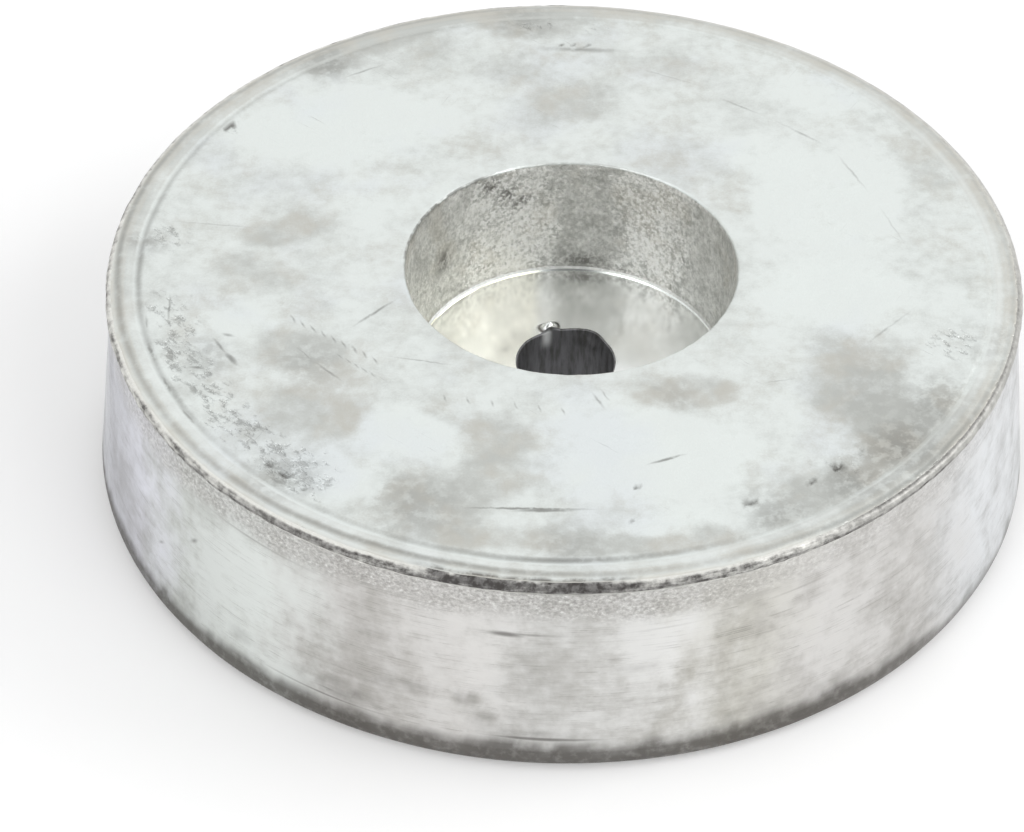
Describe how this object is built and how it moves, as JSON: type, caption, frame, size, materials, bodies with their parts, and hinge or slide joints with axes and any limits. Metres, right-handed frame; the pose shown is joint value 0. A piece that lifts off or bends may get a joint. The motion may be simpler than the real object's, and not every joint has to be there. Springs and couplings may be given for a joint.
{
  "type": "sacrificial anode",
  "caption": "Round cast zinc disc anode with a drafted wall, a thin lip at its top edge, and a deep recess floored by a cast-in steel plate with a bolt hole to the mounting face.",
  "frame": {"origin": "centre of the mounting face, on the disc's own axis", "axes": "+Z along the disc's axis, from the mounting face out through the recess; +X and +Y towards the sides that the recess, the insert and its hole are slightly shifted to"},
  "size_m": [0.1042, 0.1042, 0.0248],
  "materials": {
    "zinc": "dull cast zinc with a pale bloom, blotched and scratched",
    "steel": "bright plated steel, faced smooth"
  },
  "bodies": {
    "root": {"zinc_casting": "zinc", "steel_insert": "steel"}
  },
  "joints": []
}
